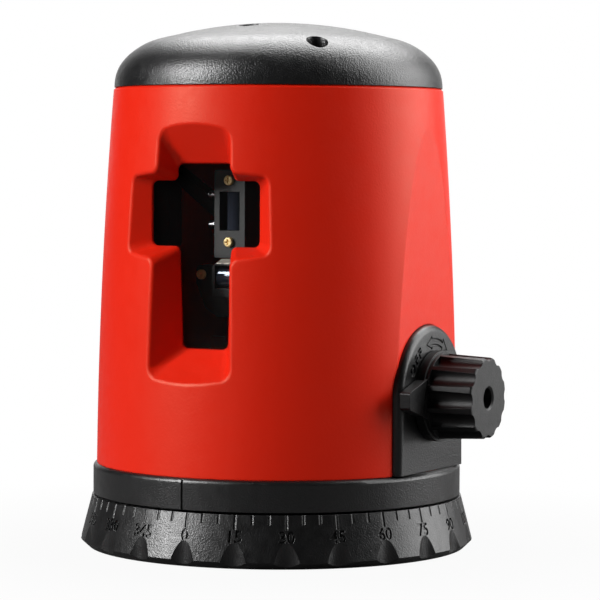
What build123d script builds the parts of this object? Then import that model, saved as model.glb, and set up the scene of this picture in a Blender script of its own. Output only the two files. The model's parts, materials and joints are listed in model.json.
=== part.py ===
from build123d import *
import math
import os

# Cross line laser level: a self-levelling pendulum in a round housing on a graduated turntable.
# Millimetres, +Z up. The origin is on the turning axis, on the surface that the foot stands on.
# The cross window faces -Y, the lock knob is at +X and the battery door is at +Y.

# Clearances
fixed_gap = 0.15       # between pieces that drop into each other
moving_gap = 0.3       # between pieces that pass each other
running_fit = 0.05     # radial, a shaft in its bush
screw_gap = 0.05       # radial, a screw in its hole
working_gap = 0.1      # between pieces that meet only when they are worked
tip_room = 1.0         # between a screw's end and the end of its hole
blind_end = 1.0        # material left at the end of a blind hole
root = 0.5             # how far a fused piece runs into its neighbour
past = 1.0             # how far a cutter runs out of what it cuts
far = 200.0            # beyond the whole part

# Turntable base
foot_height = 0.6
foot_inset = 2.35      # from the skirt's inside
foot_width = 9.0
foot_sunk = 1.0
skirt_radius = 45.75   # where it is widest
skirt_tuck = 1.75      # from there in to the lower edge
skirt_lean = 2.65      # from there in to the upper edge
skirt_wall = 4.4       # from there in to the inside
skirt_bevel = 1.6
skirt_top = 12.4
web_thickness = 2.8
plate_thickness = 2.4
hub_radius = 11.5
hub_height = 7.1
insert_radius = 9.0
insert_flange_radius = 10.4
insert_flange = 1.2
thread_bore_radius = 6.75
base_screw_circle = 24.0
base_boss_radius = 3.4

# Scale on the skirt
tick_step = 5.0
ticks_per_label = 3
tick_radius = 0.45     # of the round groove
tick_depth = 0.3
tick_short = 2.1
tick_long = 3.2
scale_zero = 2.2       # degrees from the index line to the zero mark
scallop_count = 24
scallop_radius = 4.65
scallop_depth = 1.1

# Collar that turns on the base
thrust_washer = 0.5
thrust_inner_radius = 17.0
thrust_outer_radius = 22.0
collar_height = 7.0
collar_radius = 42.85
collar_wall = 2.4
collar_floor = 2.6
collar_round = 1.1
index_width = 0.5
index_depth = 0.35
spindle_radius = 16.05
spindle_wall = 2.5
spring_washer = 1.0
spring_washer_radius = 19.5
retaining_ring = 1.0
retaining_ring_radius = 18.0
retaining_groove = 0.85
retaining_gap_half = 2.0
spindle_tail = 1.1

# Housing
housing_height = 87.0
housing_bottom_radius = 42.05
housing_middle_radius = 40.87
housing_top_radius = 38.25
housing_wall = 2.4
housing_chamfer = 0.6
spigot_depth = 2.7
spigot_wall = 2.2
spigot_root = 1.5
facet_x = 38.95
lower_boss_circle = 33.5
lower_boss_height = 9.5
lower_boss_radius = 3.2
lower_boss_turn = 45.0  # degrees from +X to the first one
upper_boss_circle = 31.5
upper_boss_radius = 3.8
upper_boss_height = 12.0
upper_boss_turn = 45.0
boss_rib = 2.5
boss_reach = 12.0      # past the wall, where it is trimmed off

# Cross window: where its walls end inside, and where they would be at a plane further out
window_plane = 32.8
window_reach = 10.0
window_wall = 1.6
window_lip = 0.9
skin_tolerance = 0.05  # for finding the edges on the outer skin
glass_thickness = 1.4
glass_margin = 1.2
inner_slot_top = 7.2
inner_slot_bottom = 5.8
inner_low = 48.0
inner_high = 89.3
inner_arm = 13.8
inner_arm_low = 70.9
inner_arm_high = 85.5
inner_corner = 1.5
flare_slot_top = 3.5
flare_slot_bottom = 6.4
flare_low = 8.4
flare_high = 14.7
flare_arm = 13.9
flare_arm_low = 4.2
flare_arm_high = 3.1
outer_corner = 2.6

# Top cap
cap_height = 15.1
cap_inset = 0.1        # from the housing's top radius
cap_shoulder = [(2.5, 6.65), (7.8, 10.4)]  # in from the edge, up
dome_radius = 100.0
dome_edge = 23.5
cap_spigot = 2.0
cap_spigot_wall = 2.0
cap_roof = 2.9
cap_side = 4.4
cavity_wall = 2.5      # height of the hollow's straight side
cavity_shoulder = (3.6, 7.4)
cavity_roof_run = 13.6
cavity_roof_drop = 2.4
pillar_radius = 4.0
cap_head_depth = 4.1   # from the cap's lower edge up to the seat of the screw heads
cap_screw_count = 2

# Screws: head radius, head height, shank radius
large_screw = (2.3, 2.0, 1.5)
medium_screw = (2.0, 1.5, 1.2)
small_screw = (1.6, 1.1, 0.9)
lens_screw = (1.15, 0.9, 0.6)
head_round = 0.4       # of the head's height
slot_length = 1.2      # of the head's radius
slot_width = 0.28      # of the head's radius
head_sunk = 0.2        # floor screws, below the surface

# Lock knob and side panel
knob_z = 37.0
panel_radius = 16.0
panel_bottom_half = 16.3
panel_lift = 0.1       # panel's lower edge above the collar
panel_proud = 1.7
panel_sunk = 1.35
panel_round = 1.5
panel_boss_radius = 7.0
panel_boss_length = 6.5
panel_screw_y = 10.5
panel_screw_z = 29.0
panel_screw_length = 3.2
shaft_radius = 3.0
bush_wall = 1.4
bush_sunk = 0.2
knob_flange = 1.95
knob_flange_radius = 10.3
knob_length = 11.6
knob_radius = 9.75
knob_end_radius = 9.2
knob_rim = 0.5
flute_count = 12
flute_turn = 15.0
flute_radius = 2.3
flute_depth = 1.15
flute_start = 0.8
pointer_reach = 17.4
pointer_half = 1.85
pointer_root_half = 7.0
pointer_lift = 0.6     # above the knob's flange
pointer_round = 0.6
knob_hole_radius = 2.35
knob_hole_bevel = 0.4
knob_hole_depth = 4.2
knob_partition = 1.3
knob_screw_length = 7.0
crank_offset = 1.05
crank_pin_radius = 1.2
crank_pin_length = 5.6
shaft_end_x = 3.0
switch_lobe_radius = 3.2
switch_lobe_offset = 1.0
switch_lobe_x = (14.0, 18.0)

# Lock bracket, lifter and damper on the collar floor
bracket_half_x = 30.0
bracket_half_y = 7.0
bracket_floor = 2.5
bracket_screw_inset = 2.2
bracket_hole = 9.0
post_inner_x = 24.5
post_top = 43.0
ledge_x = 20.5
ledge_height = 9.0
guide_radius = 5.0
guide_height = 12.0
lifter_rod_radius = 2.2
lifter_rod_length = 12.0
lifter_half_x = 2.2
lifter_half_y = 5.5
lifter_web = 3.55      # below the slot
lifter_bridge = 2.05   # above the slot
slot_play = 0.3
brake_pad_radius = 3.0
brake_pad_height = 0.9
yoke_inner_radius = 7.0
yoke_outer_radius = 16.0
yoke_thickness = 1.4
yoke_lift = 0.5        # above the shaft
magnet_count = 6
magnet_circle = 9.9
magnet_radius = 2.8
magnet_height = 1.4
yoke_screw_x = 22.5
yoke_screw_y = 4.6
yoke_screw_length = 5.0
switch_size = (8.0, 6.0, 6.5)
switch_y = -6.5
switch_plunger_radius = 0.9
switch_plunger_gap = 0.2

# Gimbal
gimbal_drop = 4.3      # from the gimbal frame down to the axis
pin_radius = 1.5
bearing_radius = 3.0
bearing_width = 2.5
cheek_inner_x = 24.5
cheek_thickness = 4.5
cheek_half_y = 8.0
cheek_leg_y = 5.0
cheek_low = 70.0
cheek_wide = 6.0       # from the axis down to where the cheeks narrow
frame_sunk = 4.6       # from the housing's top down to the frame's underside
frame_thickness = 2.0
frame_inner_radius = 15.0
frame_outer_radius = 26.0
frame_gap_half = 10.0
frame_gap_y = 5.0
frame_arm_half = 3.0
frame_shelf = 3.0      # from the frame's inner edge to the shelf over a cheek
swing = 5.0            # degrees each way
stop_lift = 7.0        # above the lower end of the cheeks
stop_tip = 1.5
stop_rise = 9.0
stop_height = 3.0
ring_half_x = 17.5
ring_half_y = 13.0
ring_wall = 4.0
ring_height = 5.0
ring_round = 1.5
pin_short = 0.2

# Pendulum
head_half = 6.5
head_above = 4.2
head_below = 5.0
head_corner = 1.5
stem_half_x = 4.0
stem_half_y = 4.0
stem_overlap = 2.0
plate_half_x = 9.0
plate_front = -6.0
plate_back = -1.0
plate_low = 52.0
plate_high = 90.0
plate_corner = 2.5
foot_block_half_x = 5.0
foot_block_back = 4.0
foot_block_height = 2.8
tail_radius = 2.0
damper_radius = 11.0
damper_thickness = 1.5
damper_low = 45.0
brake_button_radius = 8.0
brake_button_low = 44.2
upper_z = 78.6
upper_front = -22.4
upper_half_x = 4.0
upper_low = 68.0
upper_high = 88.0
upper_corner = 0.5
upper_recess_half_x = 2.6
upper_recess_half_z = 4.4
upper_recess_depth = 5.5
upper_lens_radius = 1.9
upper_lens_y = -19.7
upper_barrel_radius = 3.25
upper_screw_z = (71.6, 85.6)
lower_z = 63.7
lower_front = -24.0
lower_step = -19.5
lower_half_x = 3.6
lower_low = 59.2
lower_high = 67.8
lower_shoulder = 1.9
lower_hood = 1.1       # bevel over the front
lower_recess_half_x = 2.9
lower_recess_half_z = 2.6
lower_recess_depth = 6.5
lower_lens_radius = 2.45
lower_lens_y = -21.2
lower_barrel_radius = 4.1
lower_barrel_front = -16.0
lug_outline = [(5.0, 54.4), (8.0, 56.4), (10.4, 62.0), (10.4, 66.2)]
lug_corner = 1.2
lug_screw_x = 8.9
lug_screw_z = 64.0
barrel_back = 7.0
barrel_bore = 0.4      # of the barrel's radius
barrel_bore_depth = 3.0
module_screw_length = 6.0
trim_screw_radius = 0.9
trim_screw_x = (-6.2, -2.8)
trim_screw_y = -20.4
trim_screw_z = (75.5, 82.3)
trim_socket = 0.45     # of the set screw's radius
trim_socket_depth = 0.8
weight_half_x = 12.0
weight_front = -1.0
weight_back = 10.2
weight_low = 52.6
weight_high = 74.0
weight_corner = 2.0
weight_sink = 2.0      # from the back face down to the screw seats
weight_hole = 4.0      # depth of the screw holes in the plate
weight_screw_x = 8.5
weight_screw_z = 71.0
lead_radius = 0.55
bend_share = 0.45      # of the shorter run beside a bend
upper_lead_start = (-5.0, 2.0)
upper_lead_route = [(-5.0, 2.0, 90.0), (-13.0, 3.5, 86.5), (-16.0, 5.0, 82.0), (-9.0, 9.5, 79.0)]
upper_lead_end = (-1.0, 10.8)
lower_lead_start = (2.5, 5.0)
lower_lead_route = [(2.5, 5.0, 86.0), (4.0, 11.6, 77.0), (4.2, 11.8, 67.5)]
lower_lead_end = (1.5, 11.6)

# Power: three AA cells behind the rear door
cell_radius = 7.1
cell_length = 50.5
cell_nub_radius = 2.75
cell_nub = 1.0
cell_round = 0.8
cell_base = 0.8        # radius of the flat end, of the cell's radius
cell_circle = 29.0
cell_step = 29.8
cell_low = 31.9
box_wall = 1.4
box_front = 16.2
box_half_x = 23.8
box_back = 28.4
box_below = 3.9        # from the cells down to the bottom of the box
box_above = 3.0        # from the cells up to the top of the box
contact_half = 4.5
contact_sheet = 0.4
ear_reach = 30.0
ear_y = (20.0, 22.0)
ear_half_z = 5.0
ear_z = (42.0, 72.0)
ear_screw_x = 27.2
box_boss_radius = 2.8
box_screw_length = 4.5
battery_lead_low = (5.0, 17.2)
battery_lead_high = (4.0, 18.5)
battery_lead_rise = 8.0
battery_lead_bend_z = 100.0
door_half_x = 23.2
door_low = 26.0
door_high = 87.0
door_ledge = 1.4
door_skin = 1.2
door_rib_half_x = 7.0
door_rib_z = (77.0, 79.5, 82.0)
door_rib_height = 1.0
door_rib_proud = 0.5

# Board and mode button under the cap
board_radius = 26.5
board_thickness = 1.6
standoff_height = 3.0
standoff_radius = 2.2
standoff_places = [(-20.0, 8.0), (20.0, 8.0), (0.0, -21.0)]
board_screw_length = 4.0
board_parts = [                                # X stretch, Y stretch, height
    ((5.0, 14.0), (-4.0, 5.0), 1.2),           # controller
    ((-14.0, -8.0), (0.0, 4.0), 1.6),          # diode driver
    ((-6.0, 6.0), (16.0, 21.0), 3.0)]          # battery socket
button_y = -14.0
button_radius = 2.2
button_round = 0.65
button_sunk = 0.6
button_travel = 0.7
button_flange_radius = 3.4
button_flange = 1.2
button_stem = 2.0
button_guide_radius = 4.4
button_guide = 5.4     # length, down from the cap's top
tact_half = 3.0
tact_height = 2.6
tact_plunger_radius = 1.6

# Heights and places that follow from the values above
skirt_bottom_radius = skirt_radius - skirt_tuck
skirt_top_radius = skirt_radius - skirt_lean
skirt_inner_radius = skirt_radius - skirt_wall
foot_outer_radius = skirt_inner_radius - foot_inset
foot_inner_radius = foot_outer_radius - foot_width
base_plate_top = foot_height + plate_thickness
web_low = skirt_top - web_thickness
collar_low = skirt_top + thrust_washer
collar_floor_top = collar_low + collar_floor
collar_top = collar_low + collar_height
collar_inner_radius = collar_radius - collar_wall
spindle_inner_radius = spindle_radius - spindle_wall
ring_groove_top = web_low - spring_washer
spindle_low = ring_groove_top - retaining_ring - spindle_tail
housing_low = collar_top
housing_high = housing_low + housing_height
housing_middle = housing_low + housing_height / 2
cap_top = housing_high + cap_height
frame_low = housing_high - frame_sunk
frame_top = frame_low + frame_thickness
gimbal_z = frame_low - gimbal_drop
cheek_wide_low = gimbal_z - cheek_wide
stop_z = cheek_low + stop_lift
facet_inner_x = facet_x - housing_wall
panel_face_x = facet_x + panel_proud
panel_back_x = facet_x - panel_sunk
panel_low = collar_top + panel_lift
panel_boss_x = panel_back_x - panel_boss_length
bush_radius = shaft_radius + running_fit + bush_wall
knob_inner_x = panel_face_x + moving_gap
knob_flute_x = knob_inner_x + knob_flange
knob_end_x = knob_flute_x + knob_length
shaft_outer_x = knob_end_x - knob_hole_depth - knob_partition
bracket_top = collar_floor_top + bracket_floor
guide_top = bracket_top + guide_height
slot_z = knob_z + crank_offset
slot_half_z = crank_pin_radius + slot_play
lifter_low = slot_z - slot_half_z - lifter_web
lifter_high = slot_z + slot_half_z + lifter_bridge
brake_pad_top = brake_button_low - working_gap
yoke_low = knob_z + shaft_radius + yoke_lift
yoke_top = yoke_low + yoke_thickness
cell_high = cell_low + cell_length
box_low = cell_low - box_below
box_high = cell_high + box_above
board_low = frame_top + standoff_height
board_top = board_low + board_thickness
button_guide_low = cap_top - button_guide
plunger_top = button_guide_low - button_flange - button_stem - button_travel - 2 * working_gap


# Plain solids, each placed by its low and high ends

def span(low, high):
    """Middle and length of a stretch."""
    return (low + high) / 2, high - low


def upright(radius, low, high, x=0.0, y=0.0):
    """Cylinder along Z."""
    middle, length = span(low, high)
    return Pos(x, y, middle) * Cylinder(radius, length)


def along_x(radius, low, high, y=0.0, z=0.0):
    """Cylinder along X."""
    middle, length = span(low, high)
    return Pos(middle, y, z) * Rot(0, 90, 0) * Cylinder(radius, length)


def along_y(radius, low, high, x=0.0, z=0.0):
    """Cylinder along Y."""
    middle, length = span(low, high)
    return Pos(x, middle, z) * Rot(90, 0, 0) * Cylinder(radius, length)


def block(x, y, z):
    """Box from a low and a high end on each axis."""
    (mx, lx), (my, ly), (mz, lz) = span(*x), span(*y), span(*z)
    return Pos(mx, my, mz) * Box(lx, ly, lz)


def tube(outer, inner, low, high):
    """Ring about the turning axis."""
    return upright(outer, low, high) - upright(inner, low - past, high + past)


def turned(*points):
    """Solid of revolution about Z from (radius, height) corners."""
    return revolve(Plane.XZ * Polygon(*points, align=None), Axis.Z)


def on_circle(radius, count, first=45.0):
    """Places spaced evenly round the turning axis."""
    angles = [math.radians(first + 360 / count * i) for i in range(count)]
    return [(radius * math.cos(a), radius * math.sin(a)) for a in angles]


def screw(size, length):
    """Cross-head screw with its seat at the origin and its shank down -Z."""
    head_radius, head_height, shank_radius = size
    solid = upright(head_radius, 0, head_height) + upright(shank_radius, -length, 0)
    rim = solid.edges().filter_by(GeomType.CIRCLE).group_by(Axis.Z)[-1]
    solid = fillet(rim, head_height * head_round)
    for turn in (0, 90):
        slot = Box(head_radius * slot_length, head_radius * slot_width, head_height)
        solid -= Pos(0, 0, head_height) * Rot(0, 0, turn) * slot
    return solid


def group(solids):
    """Separate solids that share one node."""
    return Compound(list(solids))


# Turntable base

def skirt_outer(z):
    """Radius of the skirt's sloping face at a height."""
    low = foot_height + skirt_bevel
    return skirt_radius + (skirt_top_radius - skirt_radius) * (z - low) / (skirt_top - low)


def tick(length):
    """Cutter for one scale mark at the front: a round groove along the skirt's slope."""
    middle = skirt_top - length / 2
    slope = math.atan2(skirt_radius - skirt_top_radius, skirt_top - foot_height - skirt_bevel)
    cutter = Pos(0, tick_depth - tick_radius, 0) * Cylinder(tick_radius, length + past)
    return Pos(0, -skirt_outer(middle), middle + past / 2) * Rot(-math.degrees(slope), 0, 0) * cutter


def make_base_skirt():
    solid = turned(
        (spindle_radius + running_fit, web_low),
        (skirt_inner_radius, web_low),
        (skirt_inner_radius, foot_height),
        (skirt_bottom_radius, foot_height),
        (skirt_radius, foot_height + skirt_bevel),
        (skirt_top_radius, skirt_top),
        (spindle_radius + running_fit, skirt_top))
    cuts = []
    for i in range(round(360 / tick_step)):
        length = tick_short if i % ticks_per_label else tick_long
        cuts.append(Rot(0, 0, scale_zero + tick_step * i) * tick(length))
    scallop_place = skirt_radius - scallop_depth + scallop_radius
    scallop = upright(scallop_radius, 0, skirt_top, y=-scallop_place)
    for i in range(scallop_count):
        cuts.append(Rot(0, 0, scale_zero + 360 / scallop_count * i) * scallop)
    solid -= cuts
    hole = medium_screw[2] + screw_gap
    for x, y in on_circle(base_screw_circle, 4):
        solid += upright(base_boss_radius, base_plate_top, web_low, x, y)
        solid -= upright(hole, base_plate_top - past, web_low, x, y)
    return solid


def make_base_plate():
    solid = upright(skirt_inner_radius - fixed_gap, foot_height, base_plate_top)
    solid += upright(hub_radius, base_plate_top, base_plate_top + hub_height)
    solid -= upright(insert_radius, 0, base_plate_top + hub_height + past)
    solid -= tube(foot_outer_radius, foot_inner_radius, foot_height - past, foot_height + foot_sunk)
    head_radius, head_height, shank = medium_screw
    for x, y in on_circle(base_screw_circle, 4):
        solid -= upright(shank + screw_gap, foot_height, base_plate_top + past, x, y)
        solid -= upright(head_radius + fixed_gap, foot_height - past, foot_height + head_height, x, y)
    return solid


def make_tripod_insert():
    seat = base_plate_top + hub_height
    solid = upright(insert_radius, 0, seat) + upright(insert_flange_radius, seat, seat + insert_flange)
    return solid - upright(thread_bore_radius, -past, seat + insert_flange + past)


def make_foot_ring():
    solid = tube(foot_outer_radius, foot_inner_radius, 0, foot_height + foot_sunk)
    return fillet(solid.edges().group_by(Axis.Z)[0], foot_height / 2)


def make_base_screws():
    head_height = medium_screw[1]
    length = web_low - tip_room - foot_height - head_height
    places = on_circle(base_screw_circle, 4)
    one = Rot(180, 0, 0) * screw(medium_screw, length)
    return group(Pos(x, y, foot_height + head_height) * one for x, y in places)


def make_thrust_washer():
    return tube(thrust_outer_radius, thrust_inner_radius, skirt_top, collar_low)


# Collar and what holds it down

def make_base_collar():
    solid = tube(collar_radius, spindle_inner_radius, collar_low, collar_floor_top)
    solid += tube(collar_radius, collar_inner_radius, collar_low, collar_top)
    circles = solid.edges().filter_by(GeomType.CIRCLE)
    outer_rims = circles.filter_by(lambda e: e.radius > collar_inner_radius + past)
    solid = fillet(outer_rims.group_by(Axis.Z)[-1], collar_round)
    solid += tube(spindle_radius, spindle_inner_radius, spindle_low, collar_floor_top)
    groove_low = ring_groove_top - retaining_ring
    solid -= tube(spindle_radius + past, spindle_radius - retaining_groove, groove_low, ring_groove_top)
    solid -= block(
        (-index_width / 2, index_width / 2),
        (-collar_radius - past, index_depth - collar_radius),
        (collar_low - past, collar_top + past))
    head_radius, head_height, shank = medium_screw
    seat = collar_low + head_height + head_sunk
    for x, y in on_circle(lower_boss_circle, 4, lower_boss_turn) + bracket_screw_places():
        solid -= upright(shank + screw_gap, collar_low - past, collar_top, x, y)
        solid -= upright(head_radius + fixed_gap, collar_low - past, seat, x, y)
    return solid


def floor_screws(places, hole):
    """Screws up through the collar floor, with their heads sunk into it, into holes of a depth above it."""
    seat = collar_low + medium_screw[1] + head_sunk
    one = Rot(180, 0, 0) * screw(medium_screw, collar_floor_top + hole - tip_room - seat)
    return group(Pos(x, y, seat) * one for x, y in places)


def make_spring_washer():
    return tube(spring_washer_radius, spindle_radius + fixed_gap, ring_groove_top, web_low)


def make_retaining_ring():
    low = ring_groove_top - retaining_ring
    solid = tube(retaining_ring_radius, spindle_radius - retaining_groove, low, ring_groove_top)
    gap = (-retaining_gap_half, retaining_gap_half)
    return solid - block(gap, (0, far), (low - past, ring_groove_top + past))


# Housing

def shell_radius(z):
    """Outer radius of the housing at a height."""
    t = (z - housing_low) / housing_height
    straight = housing_bottom_radius + (housing_top_radius - housing_bottom_radius) * t
    bulge = housing_middle_radius - (housing_bottom_radius + housing_top_radius) / 2
    return straight + 4 * bulge * t * (1 - t)


def shell_solid(inset):
    """The housing's barrel as one solid, drawn in by an inset."""
    side = ThreePointArc(
        (housing_bottom_radius - inset, housing_low),
        (housing_middle_radius - inset, housing_middle),
        (housing_top_radius - inset, housing_high))
    rest = Polyline(side @ 1, (0, housing_high), (0, housing_low), side @ 0)
    return revolve(Plane.XZ * make_face((side + rest).edges()), Axis.Z)


def cross_outline(slot_top, slot_bottom, low, high, arm, arm_low, arm_high, corner):
    """Window outline: a tapered upright slot crossed by a level one."""
    def slot_half(z):
        return slot_bottom + (slot_top - slot_bottom) * (z - low) / (high - low)

    right = [
        (slot_bottom, low), (slot_half(arm_low), arm_low), (arm, arm_low),
        (arm, arm_high), (slot_half(arm_high), arm_high), (slot_top, high)]
    left = [(-x, z) for x, z in reversed(right)]
    outline = Polygon(*right, *left, align=None)
    return fillet(outline.vertices(), corner)


def window_outline(flare, margin):
    """Window outline at a share of its flare, widened all round by a margin."""
    return cross_outline(
        inner_slot_top + flare * flare_slot_top + margin,
        inner_slot_bottom + flare * flare_slot_bottom + margin,
        inner_low - flare * flare_low - margin,
        inner_high + flare * flare_high + margin,
        inner_arm + flare * flare_arm + margin,
        inner_arm_low - flare * flare_arm_low - margin,
        inner_arm_high + flare * flare_arm_high + margin,
        inner_corner + flare * (outer_corner - inner_corner))


def window_funnel(margin):
    """Solid between the inner and the outer window planes."""
    near = Plane.XZ.offset(window_plane) * window_outline(0, margin)
    far = Plane.XZ.offset(window_plane + window_reach) * window_outline(1, margin)
    return loft([near, far], ruled=True)


def panel_outline(margin):
    """The side panel's outline, in Y and Z: straight flanks under a round top."""
    radius = panel_radius + margin
    foot = panel_bottom_half + margin
    top = ThreePointArc((-radius, knob_z), (0, knob_z + radius), (radius, knob_z))
    rest = Polyline(top @ 1, (foot, panel_low - margin), (-foot, panel_low - margin), top @ 0)
    return make_face((top + rest).edges())


def panel_slab(margin, low, high):
    """The panel's outline made solid between two planes across X."""
    return extrude(Plane.YZ.offset(low) * panel_outline(margin), high - low)


def corner_bosses(circle, radius, turn, low, high):
    """Four screw bosses on ribs that reach the housing wall."""
    solids = []
    for i in range(4):
        boss = upright(radius, low, high, circle)
        rib = block((circle, circle + boss_reach), (-boss_rib / 2, boss_rib / 2), (low, high))
        solids.append(Rot(0, 0, turn + 90 * i) * (boss + rib))
    return solids


def rear_opening(ledge, gap, depth):
    """Cutter for the battery opening: in by a ledge and a gap, and from a depth under the skin out."""
    inset = ledge + gap
    cutter = block(
        (inset - door_half_x, door_half_x - inset),
        (0, far),
        (door_low + inset, door_high - inset))
    return cutter - shell_solid(depth) if depth else cutter


def make_housing():
    outer = shell_solid(0)
    outer = chamfer(outer.edges().filter_by(GeomType.CIRCLE).group_by(Axis.Z)[-1], housing_chamfer)
    cavity = shell_solid(housing_wall) - block((facet_inner_x, far), (-far, far), (0, far))
    cavity += upright(collar_inner_radius - fixed_gap - spigot_wall, housing_low - past, housing_low + past)
    cavity += upright(housing_top_radius - housing_wall, housing_high - past, housing_high + past)
    outer -= block((facet_x, far), (-far, far), (0, far))
    front = block((-far, far), (-far, -window_plane), (housing_low, housing_high))
    solid = outer - cavity
    solid += window_funnel(window_wall) & outer & front
    solid -= window_funnel(0)
    lip = solid.edges().filter_by(on_window_lip)
    solid = fillet(lip, window_lip)
    collar_bore = collar_inner_radius - fixed_gap
    spigot_low = housing_low - spigot_depth
    solid += tube(collar_bore, collar_bore - spigot_wall, spigot_low, housing_low + spigot_root)
    inside = shell_solid(housing_wall / 2)
    inside += upright(collar_bore - spigot_wall / 2, collar_floor_top, housing_low + past)
    lower = corner_bosses(
        lower_boss_circle, lower_boss_radius, lower_boss_turn,
        collar_floor_top, collar_floor_top + lower_boss_height)
    upper = corner_bosses(
        upper_boss_circle, upper_boss_radius, upper_boss_turn, frame_low - upper_boss_height, frame_low)
    for boss in lower + upper:
        solid += boss & inside
    for side in (-1, 1):
        for z in ear_z:
            boss = along_y(box_boss_radius, ear_y[1], ear_y[1] + boss_reach, side * ear_screw_x, z)
            solid += boss & shell_solid(housing_wall / 2)
    return drill_housing(solid)


def on_window_lip(edge):
    """True for the edges where the window meets the outer skin."""
    for share in (0, 0.5, 1):
        point = edge @ share
        if point.Y > -window_plane + past or not housing_low + past < point.Z < housing_high - past:
            return False
        if abs(math.hypot(point.X, point.Y) - shell_radius(point.Z)) > skin_tolerance:
            return False
    return True


def drill_housing(solid):
    """Screw holes, the panel's seat and the battery opening."""
    shank = medium_screw[2] + screw_gap
    for x, y in on_circle(lower_boss_circle, 4, lower_boss_turn):
        top = collar_floor_top + lower_boss_height - blind_end
        solid -= upright(shank, collar_floor_top - past, top, x, y)
    for x, y in cap_screw_places():
        low = frame_low - upper_boss_height + blind_end
        solid -= upright(large_screw[2] + screw_gap, low, frame_low + past, x, y)
    solid -= panel_slab(fixed_gap, panel_back_x, housing_bottom_radius + past)
    solid -= along_x(panel_boss_radius + fixed_gap, facet_inner_x - past, facet_x, 0, knob_z)
    small_hole = small_screw[2] + screw_gap
    for side in (-1, 1):
        solid -= along_x(small_hole, facet_inner_x - past, facet_x, side * panel_screw_y, panel_screw_z)
        for z in ear_z:
            end = ear_y[1] + box_screw_length
            solid -= along_y(small_hole, ear_y[1] - past, end, side * ear_screw_x, z)
    return solid - rear_opening(0, 0, door_skin) - rear_opening(door_ledge, 0, 0)


def make_window_glass():
    outline = Plane.XZ.offset(window_plane - glass_thickness) * window_outline(0, glass_margin)
    return extrude(outline, glass_thickness)


def make_battery_door():
    shell = shell_solid(0) - shell_solid(housing_wall)
    solid = shell & rear_opening(0, fixed_gap, door_skin)
    solid += shell & rear_opening(door_ledge, fixed_gap, 0)
    proud = shell_solid(-door_rib_proud) - shell_solid(door_skin / 2)
    for z in door_rib_z:
        rib = block(
            (-door_rib_half_x, door_rib_half_x),
            (0, far),
            (z - door_rib_height / 2, z + door_rib_height / 2))
        solid += proud & rib
    return solid


# Top cap, board and mode button

def dome_height(radius):
    """Height of the cap's dome at a distance from the turning axis."""
    return cap_top - dome_radius + math.sqrt(dome_radius ** 2 - radius ** 2)


def cap_outer():
    """The cap's outside as one solid: a rounded shoulder that runs into a low dome."""
    low = housing_high
    edge = housing_top_radius - cap_inset
    middle = [(edge - inward, low + up) for inward, up in cap_shoulder]
    dome = ThreePointArc(
        (dome_edge, dome_height(dome_edge)), (dome_edge / 2, dome_height(dome_edge / 2)), (0, cap_top))
    side = Spline((edge, low), *middle, dome @ 0, tangents=[(0, 1), dome % 0])
    rest = Polyline(dome @ 1, (0, low), side @ 0)
    return revolve(Plane.XZ * make_face((side + dome + rest).edges()), Axis.Z)


def cap_cavity():
    """The hollow under the cap's roof."""
    low = housing_high
    edge = housing_top_radius - cap_side
    inward, up = cavity_shoulder
    roof = cap_top - cap_roof
    shoulder = ThreePointArc(
        (edge, low + cavity_wall), (edge - inward, low + up),
        (edge - cavity_roof_run, roof - cavity_roof_drop))
    rest = Polyline(shoulder @ 1, (0, roof), (0, frame_low), (edge, frame_low), shoulder @ 0)
    return revolve(Plane.XZ * make_face((shoulder + rest).edges()), Axis.Z)


def cap_screw_places():
    """The screws down through the cap and the gimbal frame into the housing."""
    return on_circle(upper_boss_circle, cap_screw_count, upper_boss_turn + 90)


def make_top_cap():
    outer = cap_outer()
    spigot_radius = housing_top_radius - housing_wall - fixed_gap
    below = upright(spigot_radius, frame_top, housing_high)
    spigot = tube(spigot_radius, spigot_radius - cap_spigot_wall, housing_high - cap_spigot, housing_high)
    solid = outer - cap_cavity() + spigot
    for x, y in on_circle(upper_boss_circle, 4, upper_boss_turn):
        solid += upright(pillar_radius, frame_top, cap_top, x, y) & (outer + below)
    solid += upright(button_guide_radius, button_guide_low, cap_top, y=button_y) & outer
    head_radius, head_height, shank = large_screw
    for x, y in cap_screw_places():
        solid -= upright(shank + screw_gap, frame_top - past, cap_top, x, y)
        solid -= upright(head_radius + fixed_gap, housing_high + cap_head_depth, cap_top, x, y)
    return solid - upright(button_radius + fixed_gap, housing_high, cap_top + past, y=button_y)


def make_cap_screws():
    seat = housing_high + cap_head_depth
    hole_low = frame_low - upper_boss_height + blind_end
    one = screw(large_screw, seat - hole_low - tip_room)
    return group(Pos(x, y, seat) * one for x, y in cap_screw_places())


def make_main_board():
    solid = upright(board_radius, board_low, board_top)
    for x, y in standoff_places:
        solid -= upright(small_screw[2] + screw_gap, board_low - past, board_top + past, x, y)
    for x, y, height in board_parts:
        solid += block(x, y, (board_top, board_top + height))
    return solid


def make_board_screws():
    one = screw(small_screw, board_screw_length)
    return group(Pos(x, y, board_top) * one for x, y in standoff_places)


def make_tact_switch():
    body = block(
        (-tact_half, tact_half), (button_y - tact_half, button_y + tact_half),
        (board_top, board_top + tact_height))
    return body + upright(tact_plunger_radius, board_top + tact_height, plunger_top, y=button_y)


def make_mode_button():
    flange_top = button_guide_low - working_gap
    flange_low = flange_top - button_flange
    button_top = dome_height(button_y) - button_sunk
    solid = upright(button_radius, flange_low - button_stem, button_top, y=button_y)
    solid = fillet(solid.edges().group_by(Axis.Z)[-1], button_round)
    return solid + upright(button_flange_radius, flange_low, flange_top, y=button_y)


# Side panel, knob and lock shaft

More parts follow.
